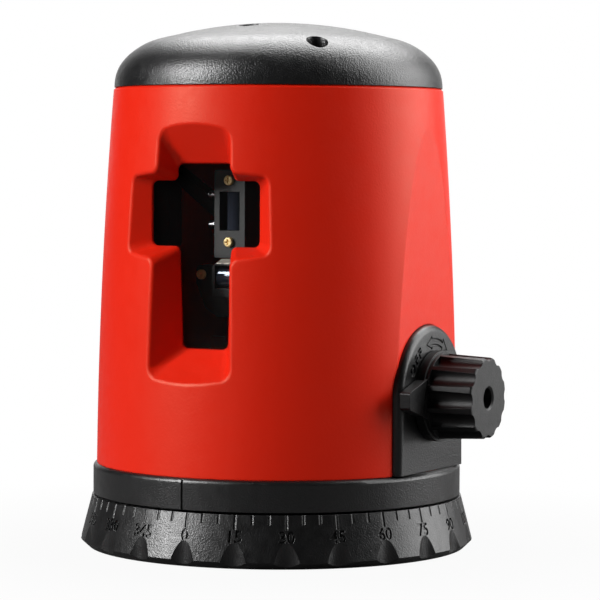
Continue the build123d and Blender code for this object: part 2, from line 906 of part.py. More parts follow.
def make_side_panel():
    solid = panel_slab(0, panel_back_x, panel_face_x)
    rim = solid.faces().sort_by(Axis.X)[-1].edges().sort_by(Axis.Z)[1:]
    solid = fillet(rim, panel_round)
    solid += along_x(panel_boss_radius, panel_boss_x, panel_back_x + root, 0, knob_z)
    solid -= along_x(bush_radius, panel_boss_x - past, panel_face_x + past, 0, knob_z)
    hole = small_screw[2] + screw_gap
    hole_end = facet_inner_x + panel_screw_length + fixed_gap
    for side in (-1, 1):
        solid -= along_x(hole, panel_back_x - past, hole_end, side * panel_screw_y, panel_screw_z)
    return solid


def make_panel_screws():
    one = Rot(0, -90, 0) * screw(small_screw, panel_screw_length)
    return group(
        Pos(facet_inner_x, side * panel_screw_y, panel_screw_z) * one for side in (-1, 1))


def make_shaft_bushes():
    bores = shaft_radius + running_fit
    solids = []
    for low, high in ((panel_boss_x, panel_face_x - bush_sunk), (post_inner_x, bracket_half_x)):
        ring = along_x(bush_radius, low, high, 0, knob_z)
        solids.append(ring - along_x(bores, low - past, high + past, 0, knob_z))
    return group(solids)


def make_knob():
    grip = Pos((knob_flute_x + knob_end_x) / 2, 0, knob_z) * Rot(0, 90, 0) * Cone(
        knob_radius, knob_end_radius, knob_length)
    grip = fillet(grip.edges().sort_by(Axis.X)[-1], knob_rim)
    place = (knob_radius + knob_end_radius) / 2 - flute_depth + flute_radius
    for i in range(flute_count):
        angle = math.radians(flute_turn + 360 / flute_count * (i + 0.5))
        grip -= along_x(
            flute_radius, knob_flute_x + flute_start, knob_end_x + past,
            place * math.cos(angle), knob_z + place * math.sin(angle))
    flange = along_x(knob_flange_radius, knob_inner_x, knob_flute_x, 0, knob_z)
    pointer = Polygon(
        (0, pointer_root_half), (-pointer_reach, pointer_half), (-pointer_reach, -pointer_half),
        (0, -pointer_root_half), align=None)
    face = Plane((knob_inner_x, 0, knob_z), (0, 1, 0), (1, 0, 0))
    nub = extrude(face * pointer, knob_flange + pointer_lift)
    tip = nub.edges().filter_by(Axis.X).group_by(Axis.Y)[0]
    nub = fillet(tip, pointer_round)
    solid = grip + flange + nub
    solid -= along_x(shaft_radius, knob_inner_x - past, shaft_outer_x, 0, knob_z)
    solid -= along_x(medium_screw[2] + screw_gap, shaft_outer_x - past, knob_end_x + past, 0, knob_z)
    solid -= Pos(knob_end_x - knob_hole_bevel / 2, 0, knob_z) * Rot(0, 90, 0) * Cone(
        knob_hole_radius, knob_hole_radius + knob_hole_bevel, knob_hole_bevel)
    return solid - along_x(knob_hole_radius, knob_end_x - knob_hole_depth, knob_end_x + past, 0, knob_z)


def make_knob_screw():
    seat = knob_end_x - knob_hole_depth
    return Pos(seat, 0, knob_z) * Rot(0, 90, 0) * screw(medium_screw, knob_screw_length)


def make_knob_shaft():
    solid = along_x(shaft_radius, shaft_end_x, shaft_outer_x, 0, knob_z)
    pin_low = shaft_end_x - crank_pin_length
    solid += along_x(crank_pin_radius, pin_low, shaft_end_x + root, 0, knob_z + crank_offset)
    solid += along_x(switch_lobe_radius, *switch_lobe_x, switch_lobe_offset, knob_z)
    hole_low = knob_end_x - knob_hole_depth - knob_screw_length - tip_room
    return solid - along_x(medium_screw[2] + screw_gap, hole_low, shaft_outer_x + past, 0, knob_z)


# Lock bracket, lifter and damper magnets

def bracket_screw_places():
    """The bracket's four screws through the collar floor."""
    middle = (post_inner_x + bracket_half_x) / 2
    side = bracket_half_y - bracket_screw_inset
    return [(sx * middle, sy * side) for sx in (-1, 1) for sy in (-1, 1)]


def make_lock_bracket():
    depth = (-bracket_half_y, bracket_half_y)
    solid = block((-bracket_half_x, bracket_half_x), depth, (collar_floor_top, bracket_top))
    for side in (-1, 1):
        post = sorted((side * post_inner_x, side * bracket_half_x))
        ledge = sorted((side * ledge_x, side * post_inner_x))
        solid += block(post, depth, (bracket_top, post_top))
        solid += block(ledge, depth, (yoke_low - ledge_height, yoke_low))
    solid += upright(guide_radius, bracket_top, guide_top)
    pedestal_x = span(*switch_lobe_x)[0]
    solid += block(
        (pedestal_x - switch_size[0] / 2, pedestal_x + switch_size[0] / 2),
        (switch_y - switch_size[1], switch_y),
        (collar_floor_top, knob_z - switch_size[2] / 2))
    solid -= upright(lifter_rod_radius + running_fit, bracket_top, guide_top + past)
    solid -= along_x(shaft_radius + moving_gap, ledge_x - past, post_inner_x, 0, knob_z)
    solid -= along_x(bush_radius, post_inner_x, bracket_half_x + past, 0, knob_z)
    for x, y in bracket_screw_places():
        hole_top = collar_floor_top + bracket_hole
        solid -= upright(medium_screw[2] + screw_gap, collar_floor_top - past, hole_top, x, y)
    for x, y in yoke_screw_places():
        solid -= upright(small_screw[2] + screw_gap, yoke_low - yoke_screw_length, yoke_low + past, x, y)
    return solid


def make_lock_lifter():
    solid = block(
        (-lifter_half_x, lifter_half_x), (-lifter_half_y, lifter_half_y), (lifter_low, lifter_high))
    slot_half_y = crank_offset + crank_pin_radius + slot_play
    solid -= block(
        (-lifter_half_x - past, lifter_half_x + past), (-slot_half_y, slot_half_y),
        (slot_z - slot_half_z, slot_z + slot_half_z))
    solid += upright(lifter_rod_radius, lifter_low - lifter_rod_length, lifter_low)
    return solid + upright(lifter_rod_radius, lifter_high, brake_pad_top - brake_pad_height)


def make_brake_pad():
    return upright(brake_pad_radius, brake_pad_top - brake_pad_height, brake_pad_top)


def yoke_screw_places():
    """Four screws that hold the magnet yoke on the bracket's ledges."""
    return [(sx * yoke_screw_x, sy * yoke_screw_y) for sx in (-1, 1) for sy in (-1, 1)]


def make_magnet_yoke():
    solid = upright(yoke_outer_radius, yoke_low, yoke_top)
    solid += block((-post_inner_x, post_inner_x), (-bracket_half_y, bracket_half_y), (yoke_low, yoke_top))
    solid -= upright(yoke_inner_radius, yoke_low - past, yoke_top + past)
    for x, y in yoke_screw_places():
        solid -= upright(small_screw[2] + screw_gap, yoke_low - past, yoke_top + past, x, y)
    return solid


def make_damper_magnets():
    places = on_circle(magnet_circle, magnet_count, 180 / magnet_count)
    return group(upright(magnet_radius, yoke_top, yoke_top + magnet_height, x, y) for x, y in places)


def make_yoke_screws():
    one = screw(small_screw, yoke_thickness + yoke_screw_length - tip_room)
    return group(Pos(x, y, yoke_top) * one for x, y in yoke_screw_places())


def make_power_switch():
    length, depth, height = switch_size
    middle = span(*switch_lobe_x)[0]
    body = block(
        (middle - length / 2, middle + length / 2), (switch_y - depth, switch_y),
        (knob_z - height / 2, knob_z + height / 2))
    tip = -switch_lobe_offset - switch_lobe_radius - switch_plunger_gap
    return body + along_y(switch_plunger_radius, switch_y, tip, middle, knob_z)


# Gimbal

def make_gimbal_frame():
    solid = tube(frame_outer_radius, frame_inner_radius, frame_low, frame_top)
    cheek_outer = cheek_inner_x + cheek_thickness
    for i in range(4):
        ear = upright(pillar_radius, frame_low, frame_top, upper_boss_circle)
        arm = block(
            (frame_inner_radius + frame_shelf, upper_boss_circle), (-frame_arm_half, frame_arm_half),
            (frame_low, frame_top))
        solid += Rot(0, 0, upper_boss_turn + 90 * i) * (ear + arm)
    solid -= block(
        (-frame_gap_half, frame_gap_half), (frame_gap_y, far), (frame_low - past, frame_top + past))
    for side in (-1, 1):
        wall = sorted((side * cheek_inner_x, side * cheek_outer))
        shelf = sorted((side * (frame_inner_radius + frame_shelf), side * cheek_outer))
        wide = (-cheek_half_y, cheek_half_y)
        solid += block(shelf, wide, (frame_low, frame_top))
        solid += block(wall, wide, (cheek_wide_low, frame_low))
        solid += block(wall, (-cheek_half_y, cheek_leg_y - cheek_half_y), (cheek_low, cheek_wide_low))
        solid += swing_stop(side)
    bearing_end = cheek_inner_x + bearing_width
    solid -= along_x(bearing_radius, -bearing_end, bearing_end, 0, gimbal_z)
    for x, y in standoff_places:
        solid += upright(standoff_radius, frame_top, board_low, x, y)
        solid -= upright(small_screw[2] + screw_gap, board_low - board_screw_length, board_low + past, x, y)
    for x, y in cap_screw_places():
        solid -= upright(large_screw[2] + screw_gap, frame_low - past, frame_top + past, x, y)
    return solid


def swing_stop(side):
    """Arm that slants in from a cheek and stops the pendulum's plate at the end of its swing."""
    drop = gimbal_z - stop_z
    tip = plate_half_x + drop * math.sin(math.radians(swing)) + moving_gap
    corners = [
        (tip, stop_z), (tip + stop_tip, stop_z), (cheek_inner_x, stop_z + stop_rise),
        (cheek_inner_x, stop_z + stop_rise + stop_height), (tip, stop_z + stop_height)]
    outline = Plane.XZ.offset(cheek_half_y - cheek_leg_y) * Polygon(*corners, align=None)
    arm = extrude(outline, cheek_leg_y)
    return arm if side > 0 else mirror(arm, Plane.YZ)


def bearing_pair(maker, low):
    """Two plain bearing rings on one axis, mirrored about the middle."""
    solids = []
    for low_end in (low, -low - bearing_width):
        high_end = low_end + bearing_width
        bore = maker(pin_radius + running_fit, low_end - past, high_end + past, 0, gimbal_z)
        solids.append(maker(bearing_radius, low_end, high_end, 0, gimbal_z) - bore)
    return group(solids)


def make_gimbal_ring():
    low, high = gimbal_z - ring_height / 2, gimbal_z + ring_height / 2
    solid = block((-ring_half_x, ring_half_x), (-ring_half_y, ring_half_y), (low, high))
    inner_x, inner_y = ring_half_x - ring_wall, ring_half_y - ring_wall
    solid -= block((-inner_x, inner_x), (-inner_y, inner_y), (low - past, high + past))
    solid = fillet(solid.edges().filter_by(Axis.Z), ring_round)
    solid -= along_x(pin_radius, -ring_half_x - past, ring_half_x + past, 0, gimbal_z)
    return solid - along_y(pin_radius, -ring_half_y - past, ring_half_y + past, 0, gimbal_z)


def make_gimbal_pins():
    outer_end = cheek_inner_x + bearing_width - pin_short
    inner_end = head_half - bearing_width + pin_short
    solids = []
    for side in (-1, 1):
        x = sorted((side * (ring_half_x - ring_wall), side * outer_end))
        y = sorted((side * inner_end, side * ring_half_y))
        solids.append(along_x(pin_radius, *x, 0, gimbal_z))
        solids.append(along_y(pin_radius, *y, 0, gimbal_z))
    return group(solids)


# Pendulum

def make_pendulum_frame():
    head = (-head_half, head_half)
    solid = block(head, head, (gimbal_z - head_below, gimbal_z + head_above))
    solid = fillet(solid.edges().filter_by(Axis.Z), head_corner)
    solid += block(
        (-stem_half_x, stem_half_x), (plate_front, stem_half_y),
        (plate_high - stem_overlap, gimbal_z - head_below))
    plate = block((-plate_half_x, plate_half_x), (plate_front, plate_back), (plate_low, plate_high))
    solid += fillet(plate.edges().filter_by(Axis.Y), plate_corner)
    solid += block(
        (-foot_block_half_x, foot_block_half_x), (plate_front, foot_block_back),
        (plate_low - foot_block_height, plate_low + root))
    solid += upright(tail_radius, damper_low + damper_thickness, plate_low)
    for low in (head_half - bearing_width, -head_half):
        solid -= along_y(bearing_radius, low, low + bearing_width, 0, gimbal_z)
    for radius, z in ((upper_barrel_radius, upper_z), (lower_barrel_radius, lower_z)):
        solid -= along_y(radius, plate_front - past, plate_back + past, 0, z)
    hole = small_screw[2] + screw_gap
    for side in (-1, 1):
        solid -= along_y(
            hole, plate_back - weight_hole, plate_back + past, side * weight_screw_x, weight_screw_z)
    return solid


def make_upper_module():
    solid = block((-upper_half_x, upper_half_x), (upper_front, plate_front), (upper_low, upper_high))
    solid = fillet(solid.edges().filter_by(Axis.Y), upper_corner)
    solid -= block(
        (-upper_recess_half_x, upper_recess_half_x), (upper_front - past, upper_front + upper_recess_depth),
        (upper_z - upper_recess_half_z, upper_z + upper_recess_half_z))
    solid -= along_y(
        upper_barrel_radius, upper_front + upper_recess_depth, plate_front + past, 0, upper_z)
    hole_end = upper_front + module_screw_length + fixed_gap
    for z in upper_screw_z:
        solid -= along_y(lens_screw[2] + screw_gap, upper_front - past, hole_end, 0, z)
    for z in trim_screw_z:
        solid -= along_x(trim_screw_radius, -upper_half_x - past, trim_screw_x[1], trim_screw_y, z)
    return solid


def make_lower_module():
    half, shoulder = lower_half_x, lower_shoulder
    nose_outline = Polygon(
        (-half, lower_low), (half, lower_low), (half, lower_high - shoulder), (half - shoulder, lower_high),
        (shoulder - half, lower_high), (-half, lower_high - shoulder), align=None)
    solid = extrude(Plane.XZ.offset(-lower_step) * nose_outline, lower_step - lower_front)
    brow = solid.edges().filter_by(Axis.X).group_by(Axis.Y)[0].sort_by(Axis.Z)[-1]
    solid = chamfer(brow, lower_hood)
    lug = lug_outline + [(-x, z) for x, z in reversed(lug_outline)]
    plate = Plane.XZ.offset(-plate_front) * fillet(Polygon(*lug, align=None).vertices(), lug_corner)
    solid += extrude(plate, plate_front - lower_step)
    solid -= block(
        (-lower_recess_half_x, lower_recess_half_x), (lower_front - past, lower_front + lower_recess_depth),
        (lower_z - lower_recess_half_z, lower_z + lower_recess_half_z))
    recess_end = lower_front + lower_recess_depth
    solid -= along_y(lower_recess_half_z, recess_end - past, lower_barrel_front + past, 0, lower_z)
    solid -= along_y(lower_barrel_radius, lower_barrel_front, plate_front + past, 0, lower_z)
    hole_end = lower_step + module_screw_length + fixed_gap
    for side in (-1, 1):
        solid -= along_y(
            lens_screw[2] + screw_gap, lower_step - past, hole_end, side * lug_screw_x, lug_screw_z)
    return solid


def make_upper_lens():
    height = 2 * (upper_recess_half_z - working_gap)
    return Pos(0, upper_lens_y, upper_z) * Cylinder(upper_lens_radius, height)


def make_lower_lens():
    half = lower_recess_half_x - working_gap
    return along_x(lower_lens_radius, -half, half, lower_lens_y, lower_z)


def make_laser_barrels():
    solids = []
    for radius, front, z in (
            (upper_barrel_radius, upper_front + upper_recess_depth, upper_z),
            (lower_barrel_radius, lower_barrel_front, lower_z)):
        bore = along_y(radius * barrel_bore, front - past, front + barrel_bore_depth, 0, z)
        solids.append(along_y(radius, front, barrel_back, 0, z) - bore)
    return group(solids)


def make_module_screws():
    one = Rot(90, 0, 0) * screw(lens_screw, module_screw_length)
    places = [(0, upper_front, z) for z in upper_screw_z]
    places += [(side * lug_screw_x, lower_step, lug_screw_z) for side in (-1, 1)]
    return group(Pos(*place) * one for place in places)


def make_trim_screws():
    head = trim_screw_x[0]
    solids = []
    for z in trim_screw_z:
        socket = along_x(
            trim_screw_radius * trim_socket, head - past, head + trim_socket_depth, trim_screw_y, z)
        solids.append(along_x(trim_screw_radius, *trim_screw_x, trim_screw_y, z) - socket)
    return group(solids)


def make_counterweight():
    solid = block((-weight_half_x, weight_half_x), (weight_front, weight_back), (weight_low, weight_high))
    solid = fillet(solid.edges().filter_by(Axis.Y), weight_corner)
    solid -= along_y(lower_barrel_radius + fixed_gap, weight_front - past, weight_back + past, 0, lower_z)
    solid -= block(
        (-foot_block_half_x - fixed_gap, foot_block_half_x + fixed_gap),
        (weight_front - past, foot_block_back + fixed_gap), (weight_low - past, plate_low + past))
    for side in (-1, 1):
        x = side * weight_screw_x
        solid -= along_y(
            small_screw[2] + screw_gap, weight_front - past, weight_back + past, x, weight_screw_z)
        solid -= along_y(
            small_screw[0] + fixed_gap, weight_back - weight_sink, weight_back + past, x, weight_screw_z)
    return solid


def make_weight_screws():
    seat = weight_back - weight_sink
    one = Rot(-90, 0, 0) * screw(small_screw, seat - plate_back + weight_hole - tip_room)
    return group(Pos(side * weight_screw_x, seat, weight_screw_z) * one for side in (-1, 1))


def make_damper_disc():
    return upright(damper_radius, damper_low, damper_low + damper_thickness)


def make_brake_button():
    reach = gimbal_z - brake_button_low
    bowl = Pos(0, 0, gimbal_z) * Sphere(reach)
    return upright(brake_button_radius, brake_button_low - past, damper_low) & bowl


def lead(*points):
    """Insulated wire along straight runs joined by bends as large as the runs allow."""
    corners = [Vector(*point) for point in points]
    runs = [b - a for a, b in zip(corners, corners[1:])]
    bends = []
    for before, after in zip(runs, runs[1:]):
        half_turn = math.radians(before.get_angle(after)) / 2
        bends.append(bend_share * min(before.length, after.length) / math.tan(half_turn))
    path = FilletPolyline(*points, radius=bends)
    section = Plane(path @ 0, z_dir=path % 0) * Circle(lead_radius)
    return sweep(section, path)


def make_pendulum_leads():
    top = gimbal_z - head_below
    solids = []
    for start, route, end, z in (
            (upper_lead_start, upper_lead_route, upper_lead_end, upper_z),
            (lower_lead_start, lower_lead_route, lower_lead_end, lower_z)):
        solids.append(lead((*start, top), *route, (*end, z), (end[0], barrel_back, z)))
    return group(solids)


# Battery compartment

def cell_places():
    """The cells' axes, side by side behind the rear door."""
    angles = [math.radians(90 + cell_step * i) for i in (-1, 0, 1)]
    return [(cell_circle * math.cos(a), cell_circle * math.sin(a)) for a in angles]


def make_battery_box():
    solid = block((-box_half_x, box_half_x), (box_front, box_back), (box_low, box_high))
    solid -= block(
        (box_wall - box_half_x, box_half_x - box_wall), (box_front + box_wall, box_back + past),
        (box_low + box_wall, box_high - box_wall))
    shelf_half = door_half_x - door_ledge - past
    shelf = upright(cell_circle + cell_radius, box_low, box_high)
    shelf &= block((-shelf_half, shelf_half), (box_back - root, far), (0, far))
    solid += shelf - block((-far, far), (0, far), (box_low + box_wall, box_high - box_wall))
    for side in (-1, 1):
        for z in ear_z:
            reach = sorted((side * (box_half_x - box_wall), side * ear_reach))
            solid += block(reach, ear_y, (z - ear_half_z, z + ear_half_z))
            hole = small_screw[2] + screw_gap
            solid -= along_y(hole, ear_y[0] - past, ear_y[1] + past, side * ear_screw_x, z)
    return solid


def make_box_screws():
    one = Rot(90, 0, 0) * screw(small_screw, box_screw_length)
    return group(
        Pos(side * ear_screw_x, ear_y[0], z) * one for side in (-1, 1) for z in ear_z)


def make_battery_cells():
    solids = []
    for i, (x, y) in enumerate(cell_places()):
        can = upright(cell_radius, cell_nub / 2, cell_length - cell_nub)
        can = fillet(can.edges().filter_by(GeomType.CIRCLE), cell_round)
        cell = can + upright(cell_nub_radius, cell_length - cell_nub - root, cell_length)
        cell += upright(cell_radius * cell_base, 0, cell_nub)
        if i == 1:
            cell = Pos(0, 0, cell_length) * Rot(180, 0, 0) * cell
        solids.append(Pos(x, y, cell_low) * cell)
    return group(solids)


def make_battery_contacts():
    solids = []
    for x, y in cell_places():
        for floor, face, sign in (
                (box_low + box_wall, cell_low, 1), (box_high - box_wall, cell_high, -1)):
            base = sorted((floor, floor + sign * contact_sheet))
            tongue = sorted((floor, face - sign * working_gap))
            solid = block((x - contact_half, x + contact_half), (y - contact_half, y + contact_half), base)
            solids.append(solid + upright(cell_nub_radius, *tongue, x, y))
    return group(solids)


def make_battery_leads():
    (low_x, low_y), (high_x, high_y) = battery_lead_low, battery_lead_high
    return group(
        lead(
            (side * low_x, low_y, box_high), (side * low_x, low_y, box_high + battery_lead_rise),
            (side * high_x, high_y, battery_lead_bend_z), (side * high_x, high_y, board_low))
        for side in (-1, 1))


nodes = {
    "base_skirt": make_base_skirt,
    "base_plate": make_base_plate,
    "tripod_insert": make_tripod_insert,
    "foot_ring": make_foot_ring,
    "base_screws": make_base_screws,
    "thrust_washer": make_thrust_washer,
    "base_collar": make_base_collar,
    "spring_washer": make_spring_washer,
    "retaining_ring": make_retaining_ring,
    "housing": make_housing,
    "housing_screws": lambda: floor_screws(
        on_circle(lower_boss_circle, 4, lower_boss_turn), lower_boss_height - blind_end),
    "window_glass": make_window_glass,
    "battery_door": make_battery_door,
    "top_cap": make_top_cap,
    "cap_screws": make_cap_screws,
    "main_board": make_main_board,
    "board_screws": make_board_screws,
    "tact_switch": make_tact_switch,
    "mode_button": make_mode_button,
    "side_panel": make_side_panel,
    "panel_screws": make_panel_screws,
    "shaft_bushes": make_shaft_bushes,
    "knob": make_knob,
    "knob_screw": make_knob_screw,
    "knob_shaft": make_knob_shaft,
    "lock_bracket": make_lock_bracket,
    "bracket_screws": lambda: floor_screws(bracket_screw_places(), bracket_hole),
    "lock_lifter": make_lock_lifter,
    "brake_pad": make_brake_pad,
    "magnet_yoke": make_magnet_yoke,
    "damper_magnets": make_damper_magnets,
    "yoke_screws": make_yoke_screws,
    "power_switch": make_power_switch,
    "gimbal_frame": make_gimbal_frame,
    "outer_bearings": lambda: bearing_pair(along_x, cheek_inner_x),
    "gimbal_ring": make_gimbal_ring,
    "gimbal_pins": make_gimbal_pins,
    "pendulum_frame": make_pendulum_frame,
    "inner_bearings": lambda: bearing_pair(along_y, head_half - bearing_width),
    "upper_module": make_upper_module,
    "lower_module": make_lower_module,
    "upper_lens": make_upper_lens,
    "lower_lens": make_lower_lens,
    "laser_barrels": make_laser_barrels,
    "module_screws": make_module_screws,
    "trim_screws": make_trim_screws,
    "counterweight": make_counterweight,
    "weight_screws": make_weight_screws,
    "damper_disc": make_damper_disc,
    "brake_button": make_brake_button,
    "pendulum_leads": make_pendulum_leads,
    "battery_box": make_battery_box,
    "box_screws": make_box_screws,
    "battery_cells": make_battery_cells,
    "battery_contacts": make_battery_contacts,
    "battery_leads": make_battery_leads,
}

os.makedirs("parts", exist_ok=True)
for name, make in nodes.items():
    export_step(make(), f"parts/{name}.step")
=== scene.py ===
import json
import math

import bmesh
import bpy
from mathutils import Matrix, Vector


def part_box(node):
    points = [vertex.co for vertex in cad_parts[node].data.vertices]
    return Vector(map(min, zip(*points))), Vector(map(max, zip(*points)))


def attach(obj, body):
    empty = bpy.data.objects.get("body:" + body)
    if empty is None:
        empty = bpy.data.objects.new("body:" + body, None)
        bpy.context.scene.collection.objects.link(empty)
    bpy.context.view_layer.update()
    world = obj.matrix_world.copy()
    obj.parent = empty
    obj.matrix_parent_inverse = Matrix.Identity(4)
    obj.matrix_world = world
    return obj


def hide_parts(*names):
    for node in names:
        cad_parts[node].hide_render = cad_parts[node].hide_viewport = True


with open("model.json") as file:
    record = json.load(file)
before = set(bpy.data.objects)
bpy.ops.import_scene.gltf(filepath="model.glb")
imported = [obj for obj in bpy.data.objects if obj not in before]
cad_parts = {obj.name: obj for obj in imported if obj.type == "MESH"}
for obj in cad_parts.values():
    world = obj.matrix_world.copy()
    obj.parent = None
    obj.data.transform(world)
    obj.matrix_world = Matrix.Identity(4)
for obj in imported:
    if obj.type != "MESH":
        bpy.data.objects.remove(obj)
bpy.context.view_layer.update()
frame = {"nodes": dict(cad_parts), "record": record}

# Looks of a cross line laser level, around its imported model. Metres, +Z up.
# The cross window faces -Y, the lock knob is at +X.

# Camera, from the photograph
camera_azimuth = math.radians(29.3)
camera_distance = 0.651
camera_height = 0.090
camera_pitch = math.radians(2.85)
camera_yaw = math.radians(0.462)
camera_roll = math.radians(0.3)
camera_lens = 167.3
camera_sensor = 36.0
near_clip = 0.01

# Lamps: degrees right of the camera, height, distance, width, length, watts
lamps = {
    "left_softbox": (-67.0, 0.46, 0.80, 0.24, 0.60, 9.8),
    "right_softbox": (101.0, 0.44, 0.75, 0.75, 0.95, 9.0),
    "back_softbox": (170.0, 1.20, 0.78, 1.3, 1.0, 26.0),
    "right_fill": (94.0, 0.30, 0.75, 0.4, 0.4, 3.5),
    "front_fill": (-30.0, 0.07, 1.0, 0.2, 0.2, 0.9),
}
fill_lamps = ("right_fill", "front_fill")  # these don't show in shiny surfaces
lamp_aim = Vector((0.0, 0.0, 0.065))

# Surroundings
room_light = 0.03           # from all round, for matt surfaces
front_shine = 0.012         # what shiny surfaces see of the dark side behind the camera
shine_turn = (0.80, 0.98)   # where that dark side gives way to the white one
backdrop_white = 1.0
backdrop_shine = 1.0        # what shiny surfaces see of the white side
floor_white = 0.95          # share of plain white in the floor that is seen near the object
floor_fade = (0.055, 0.14)  # over these distances the floor turns plain white
floor_tone = 0.08
floor_roughness = 0.9
floor_half = 4.0

# Scale on the skirt, in the part's own measures
scale_zero = math.radians(2.2)
label_step = 15
label_low = 0.0063
label_height = 0.00275
label_bold = 0.02                  # of the letters' own size
label_depth = 0.00035
skirt_low = (0.04575, 0.0022)      # radius and height where the sloping face starts
skirt_high = (0.0431, 0.0124)

# Legend on the side panel, about the knob's axis
knob_height = 0.037
legend_radius = 0.0108
legend_height = 0.0025
legend_bold = 0.07
legend_spacing = 1.4        # of the letters' own
legend_depth = 0.0004
legend_off = math.radians(-48)
legend_on = math.radians(66)
arrow_radius = 0.0121
arrow_middle = math.radians(9)
arrow_half = math.radians(25)
arrow_head = math.radians(12)
arrow_body = 0.00065
arrow_barb = 0.0014
arrow_steps = 8
groove_radius = 0.00032
groove_steps = 2
letter_steps = 3

# Meshes
smooth_angle = math.radians(12)
weld_distance = 2e-6        # closes the seams of a CAD mesh
join_distance = 1e-7        # closes the seams of a letter

# Detail that the materials share
edge_round = 0.00018        # on sharp edges
housing_round = 0.0005      # on the housing's edges, which are softer
edge_samples = 4
noise_detail = 2.0
grain_detail = 1.5
noise_middle = (0.3, 0.7)   # most of a noise's values lie between these
patch_scale = 60.0          # patches of colour per metre, on plastic
patch_grains = 6            # grains across a patch of roughness
plastic_swing = 0.04        # of roughness, each way
stain_scale = 300.0         # patches of colour per metre, on metal
stain_drift = 0.08
mark_scale = 2500.0         # machining marks per metre
mark_relief = 0.00001
metal_swing = (-0.07, 0.09)  # of roughness

# Plastics: grain in features per metre, relief in metres, drift as a share of the colour
plastics = {
    "red_plastic": dict(
        colour=(0.70, 0.0145, 0.0035), roughness=0.42, grain=2100.0, relief=0.00003,
        drift=0.03, gloss=0.35, shine=(1.0, 0.75, 0.5), edge=housing_round),
    "black_plastic": dict(
        colour=(0.004, 0.004, 0.0042), roughness=0.34, grain=2800.0, relief=0.00006, gloss=0.75),
    "cap_plastic": dict(
        colour=(0.005, 0.005, 0.0053), roughness=0.34, grain=2750.0, relief=0.00011, gloss=0.9),
    "knob_plastic": dict(
        colour=(0.004, 0.004, 0.0042), roughness=0.5, grain=2600.0, relief=0.00005, gloss=0.7),
    "flute_plastic": dict(
        colour=(0.003, 0.003, 0.0032), roughness=0.42, grain=2600.0, relief=0.00003, gloss=0.25),
    "inner_plastic": dict(colour=(0.014, 0.014, 0.015), roughness=0.5, grain=1500.0, relief=0.00003),
    "module_plastic": dict(colour=(0.022, 0.0225, 0.022), roughness=0.42, grain=1800.0, relief=0.00002),
    "bearing_plastic": dict(colour=(0.72, 0.72, 0.68), roughness=0.45, grain=1500.0, relief=0.00002),
    "rubber": dict(colour=(0.012, 0.012, 0.012), roughness=0.75, grain=1200.0, relief=0.00004),
    "board": dict(colour=(0.02, 0.16, 0.06), roughness=0.4, grain=900.0, relief=0.00003, drift=0.2),
    "wire": dict(colour=(0.30, 0.075, 0.015), roughness=0.45, grain=1500.0, relief=0.00001),
}

# Metals: the marks' stretch along each axis, and the share that is bare of lacquer
metals = {
    # pale metal put only on the lower module's upward faces: painted light on its top
    "painted_lit_top": dict(colour=(0.62, 0.58, 0.50), roughness=0.42),
    "brass": dict(colour=(0.92, 0.68, 0.32), roughness=0.42, stretch=(1.0, 0.1, 1.0)),
    "screw_brass": dict(colour=(1.0, 0.76, 0.36), roughness=0.42, bare=0.5),
    "copper": dict(colour=(0.75, 0.34, 0.2), roughness=0.35),
    "steel": dict(colour=(0.6, 0.6, 0.61), roughness=0.28),
    "dark_steel": dict(colour=(0.35, 0.35, 0.36), roughness=0.3),
    "magnet": dict(colour=(0.66, 0.65, 0.63), roughness=0.2),
    "aluminium": dict(colour=(0.62, 0.62, 0.63), roughness=0.45),
    "cell": dict(colour=(0.2, 0.21, 0.23), roughness=0.4),
}

# Glass: smudges per metre, and the range of roughness they give
pane_colour = (0.02, 0.02, 0.02)
pane_alpha = 0.05
pane_smudges = 180.0
pane_roughness = (0.03, 0.08)
lens_colour = (0.03, 0.035, 0.05)
lens_gloss = 1.0
lens_shine = (0.75, 0.85, 1.0)
lens_smudges = 700.0
lens_roughness = (0.05, 0.1)

# Nodes that look different from their slot in the record
own_materials = {
    "top_cap": "cap_plastic",
    "knob": "knob_plastic",
    "pendulum_leads": "wire",
    "module_screws": "screw_brass",
}
facing = 0.5                # share of a direction in the normal of a face that counts as facing it


# Materials

def start_material(name):
    """A material with its node tree and shader."""
    material = bpy.data.materials.new(name)
    material.use_nodes = True
    return material, material.node_tree, material.node_tree.nodes["Principled BSDF"]


def noise(tree, scale, detail=noise_detail, stretch=(1.0, 1.0, 1.0)):
    """Noise with a number of features per metre, in the part's own frame."""
    place = tree.nodes.new("ShaderNodeTexCoord")
    mapping = tree.nodes.new("ShaderNodeMapping")
    mapping.inputs["Scale"].default_value = stretch
    texture = tree.nodes.new("ShaderNodeTexNoise")
    texture.inputs["Scale"].default_value = scale
    texture.inputs["Detail"].default_value = detail
    tree.links.new(place.outputs["Object"], mapping.inputs["Vector"])
    tree.links.new(mapping.outputs["Vector"], texture.inputs["Vector"])
    return texture.outputs["Fac"]


def spread(tree, value, low, high):
    """A noise value stretched to a range."""
    ramp = tree.nodes.new("ShaderNodeMapRange")
    ramp.inputs["From Min"].default_value = noise_middle[0]
    ramp.inputs["From Max"].default_value = noise_middle[1]
    ramp.inputs["To Min"].default_value = low
    ramp.inputs["To Max"].default_value = high
    tree.links.new(value, ramp.inputs["Value"])
    return ramp.outputs["Result"]


def tinted(tree, value, colour, change):
    """A colour that drifts by a share of itself with a noise value."""
    mix = tree.nodes.new("ShaderNodeMix")
    mix.data_type = "RGBA"
    mix.inputs["A"].default_value = (*[c * (1 - change) for c in colour], 1)
    mix.inputs["B"].default_value = (*[c * (1 + change) for c in colour], 1)
    tree.links.new(value, mix.inputs["Factor"])
    return mix.outputs["Result"]


